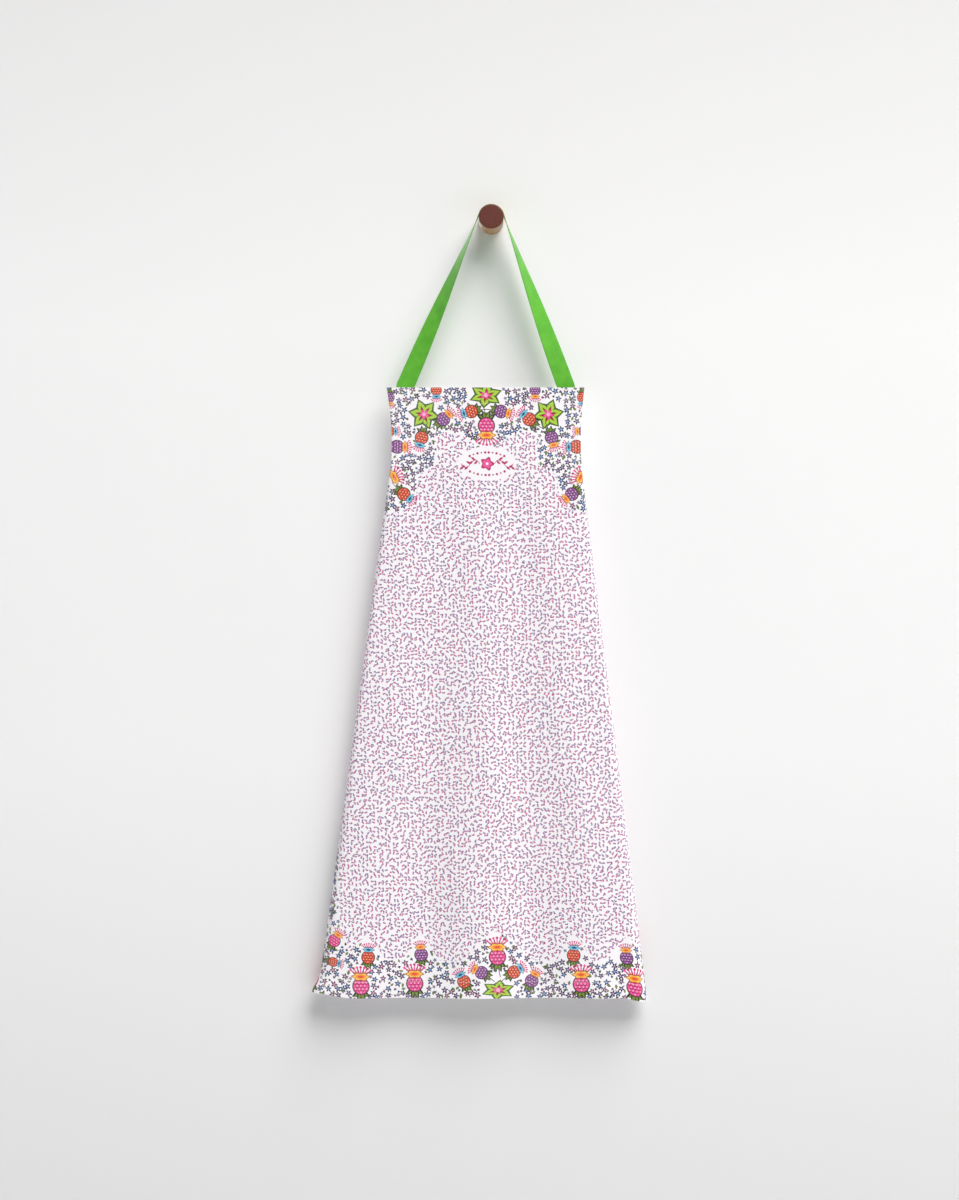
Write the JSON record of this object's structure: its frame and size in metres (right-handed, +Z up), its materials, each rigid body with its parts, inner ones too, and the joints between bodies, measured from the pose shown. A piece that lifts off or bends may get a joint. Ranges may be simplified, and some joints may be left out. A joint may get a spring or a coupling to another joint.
{
  "type": "apron on a wall peg",
  "caption": "Cotton kitchen apron with a floral border, hung by its green neck strap on a wooden wall peg; its sides fold back and two waist ties hang behind.",
  "frame": {"origin": "centre of the wall plug's mouth, on the wall's surface, which is also on the peg's axis", "axes": "+Z up, +Y into the wall along the plug and the peg's axis, so the apron hangs in front of the wall on the -Y side, and +X is to the viewer's right"},
  "size_m": [0.477, 0.095, 1.1242],
  "materials": {
    "peg_wood": "oiled hardwood, darker on the end grain",
    "steel": "zinc-plated steel, satin",
    "nylon": "moulded nylon, matte",
    "webbing": "ribbed cotton webbing, matt, bright green",
    "cotton": "plain-woven cotton, printed with small flowers and a flower border",
    "thread": "spun polyester sewing thread",
    "label_satin": "plain white woven satin, blank"
  },
  "bodies": {
    "wall_fixing": {"wall_plug": "nylon", "dowel_screw": "steel"},
    "peg": {"peg": "peg_wood"},
    "strap": {"neck_strap": "webbing"},
    "apron": {"strap_end_left": "webbing", "strap_end_right": "webbing", "strap_stitching_left": "thread", "strap_stitching_right": "thread", "apron_panel": "cotton", "top_hem": "cotton", "armhole_hem_left": "cotton", "armhole_hem_right": "cotton", "side_hem_left": "cotton", "side_hem_right": "cotton", "bottom_hem": "cotton", "top_hem_stitching": "thread", "bottom_hem_stitching": "thread", "side_stitching_left": "thread", "side_stitching_right": "thread", "tie_end_left": "webbing", "tie_end_right": "webbing", "tie_stitching_left": "thread", "tie_stitching_right": "thread", "care_label": "label_satin"},
    "tie_left": {"tie_left": "webbing"},
    "tie_right": {"tie_right": "webbing"}
  },
  "joints": [
    {"name": "sideways_swing", "type": "hinge", "parent": "wall_fixing", "child": "peg", "pos_m": [0, 0, 0], "axis": [0, 1, 0], "range_deg": [-20, 20]},
    {"name": "lift_off", "type": "slide", "parent": "peg", "child": "strap", "axis": [0, -1, 0], "range_m": [0, 0.06]},
    {"name": "apron_lift", "type": "hinge", "parent": "strap", "child": "apron", "pos_m": [-0.008, -0.0367, -0.24], "axis": [-1, 0, 0], "range_deg": [0, 60]},
    {"name": "tie_left_swing", "type": "hinge", "parent": "apron", "child": "tie_left", "pos_m": [-0.02826, -0.024, -0.60186], "axis": [1, 0, 0], "range_deg": [0, 70]},
    {"name": "tie_right_swing", "type": "hinge", "parent": "apron", "child": "tie_right", "pos_m": [0.00474, -0.024, -0.59082], "axis": [1, 0, 0], "range_deg": [0, 70]}
  ]
}
